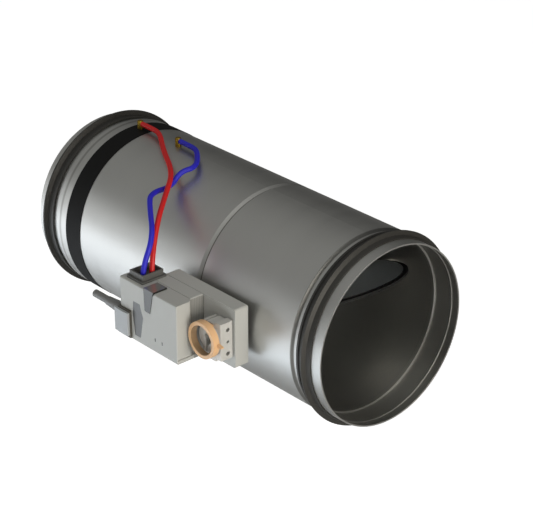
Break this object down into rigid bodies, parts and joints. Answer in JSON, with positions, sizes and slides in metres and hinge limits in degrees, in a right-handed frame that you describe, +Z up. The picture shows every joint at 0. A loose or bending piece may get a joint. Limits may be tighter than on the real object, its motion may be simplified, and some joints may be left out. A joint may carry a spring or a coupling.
{
  "type": "airflow regulator",
  "caption": "Round duct airflow regulator: gasketed sheet-metal casing with a damper blade, pressure taps with hoses, and a side-mounted actuator with its controller.",
  "frame": {"origin": "centre of the outlet rim, on the duct's axis", "axes": "+X along the duct's axis and out of the outlet, +Z up, the actuator on the -Y side and the pressure taps on top"},
  "size_m": [0.4709, 0.2762, 0.219],
  "materials": {
    "galvanised_sheet": "satin",
    "blade_sheet": "satin",
    "dark_rubber": "matte",
    "black_rubber": "matte",
    "black_tape": "matte",
    "brass": "satin",
    "red_hose": "satin",
    "blue_hose": "satin",
    "dark_plastic": "matte",
    "black_plastic": "matte",
    "steel": "satin",
    "dark_metal": "satin",
    "grey_housing": "satin",
    "mid_grey_plastic": "satin",
    "pale_plastic": "satin",
    "orange_plastic": "satin",
    "cast_clamp": "satin",
    "cable_sheath": "satin",
    "green_board": "satin"
  },
  "bodies": {
    "casing": {"casing_tube": "galvanised_sheet", "outlet_spigot": "galvanised_sheet", "inlet_spigot": "galvanised_sheet", "outlet_gasket": "dark_rubber", "inlet_gasket": "dark_rubber", "sealing_band": "black_tape", "measuring_ring": "galvanised_sheet", "upstream_tap": "brass", "downstream_tap": "brass", "red_hose": "red_hose", "blue_hose": "blue_hose", "drive_side_bush": "dark_plastic", "idle_side_bush": "dark_plastic", "mounting_bracket": "galvanised_sheet", "gear_case": "grey_housing", "gear_case_lid": "grey_housing", "idler_arbor": "steel", "motor_stator": "steel", "front_cover": "grey_housing", "middle_housing": "grey_housing", "socket_cover": "mid_grey_plastic", "status_lights": "mid_grey_plastic", "terminal_block": "black_plastic", "terminal_cover": "pale_plastic", "hose_boot": "dark_plastic", "strain_relief": "black_plastic", "cable_stub": "cable_sheath", "circuit_board": "green_board", "pressure_sensor": "black_plastic", "button_spring": "steel", "spring_seat": "black_plastic"},
    "damper": {"damper_shaft": "steel", "blade_back_plate": "blade_sheet", "blade_seal": "black_rubber", "blade_front_plate": "blade_sheet", "blade_screws": "steel", "output_gear": "dark_metal", "clamp_yoke": "cast_clamp", "clamp_jaw": "cast_clamp", "clamp_block": "cast_clamp", "clamp_screws": "dark_metal", "position_ring": "orange_plastic"},
    "idler": {"idler_gear": "dark_metal"},
    "rotor": {"motor_rotor": "dark_metal"},
    "button": {"release_button": "mid_grey_plastic"}
  },
  "joints": [
    {"name": "damper_turn", "type": "hinge", "parent": "casing", "child": "damper", "pos_m": [-0.1209, 0, 0], "axis": [0, -1, 0], "range_deg": [-20.8, 32.2]},
    {"name": "idler_turn", "type": "hinge", "parent": "casing", "child": "idler", "pos_m": [-0.1559, 0, 0], "axis": [0, -1, 0], "range_deg": [-119, 77]},
    {"name": "rotor_turn", "type": "hinge", "parent": "casing", "child": "rotor", "pos_m": [-0.18127, 0, -0.00924], "axis": [0, -1, 0], "range_deg": [-199, 308]},
    {"name": "button_press", "type": "slide", "parent": "casing", "child": "button", "axis": [0, 0, -1], "range_m": [0, 0.0018], "stiffness_N_per_m": 800, "springref_m": -0.001, "deforming": ["button_spring"]}
  ],
  "couplings": [
    {"joint": "idler_turn", "follows": "damper_turn", "ratio": -3.6667},
    {"joint": "rotor_turn", "follows": "damper_turn", "ratio": 9.5333}
  ]
}
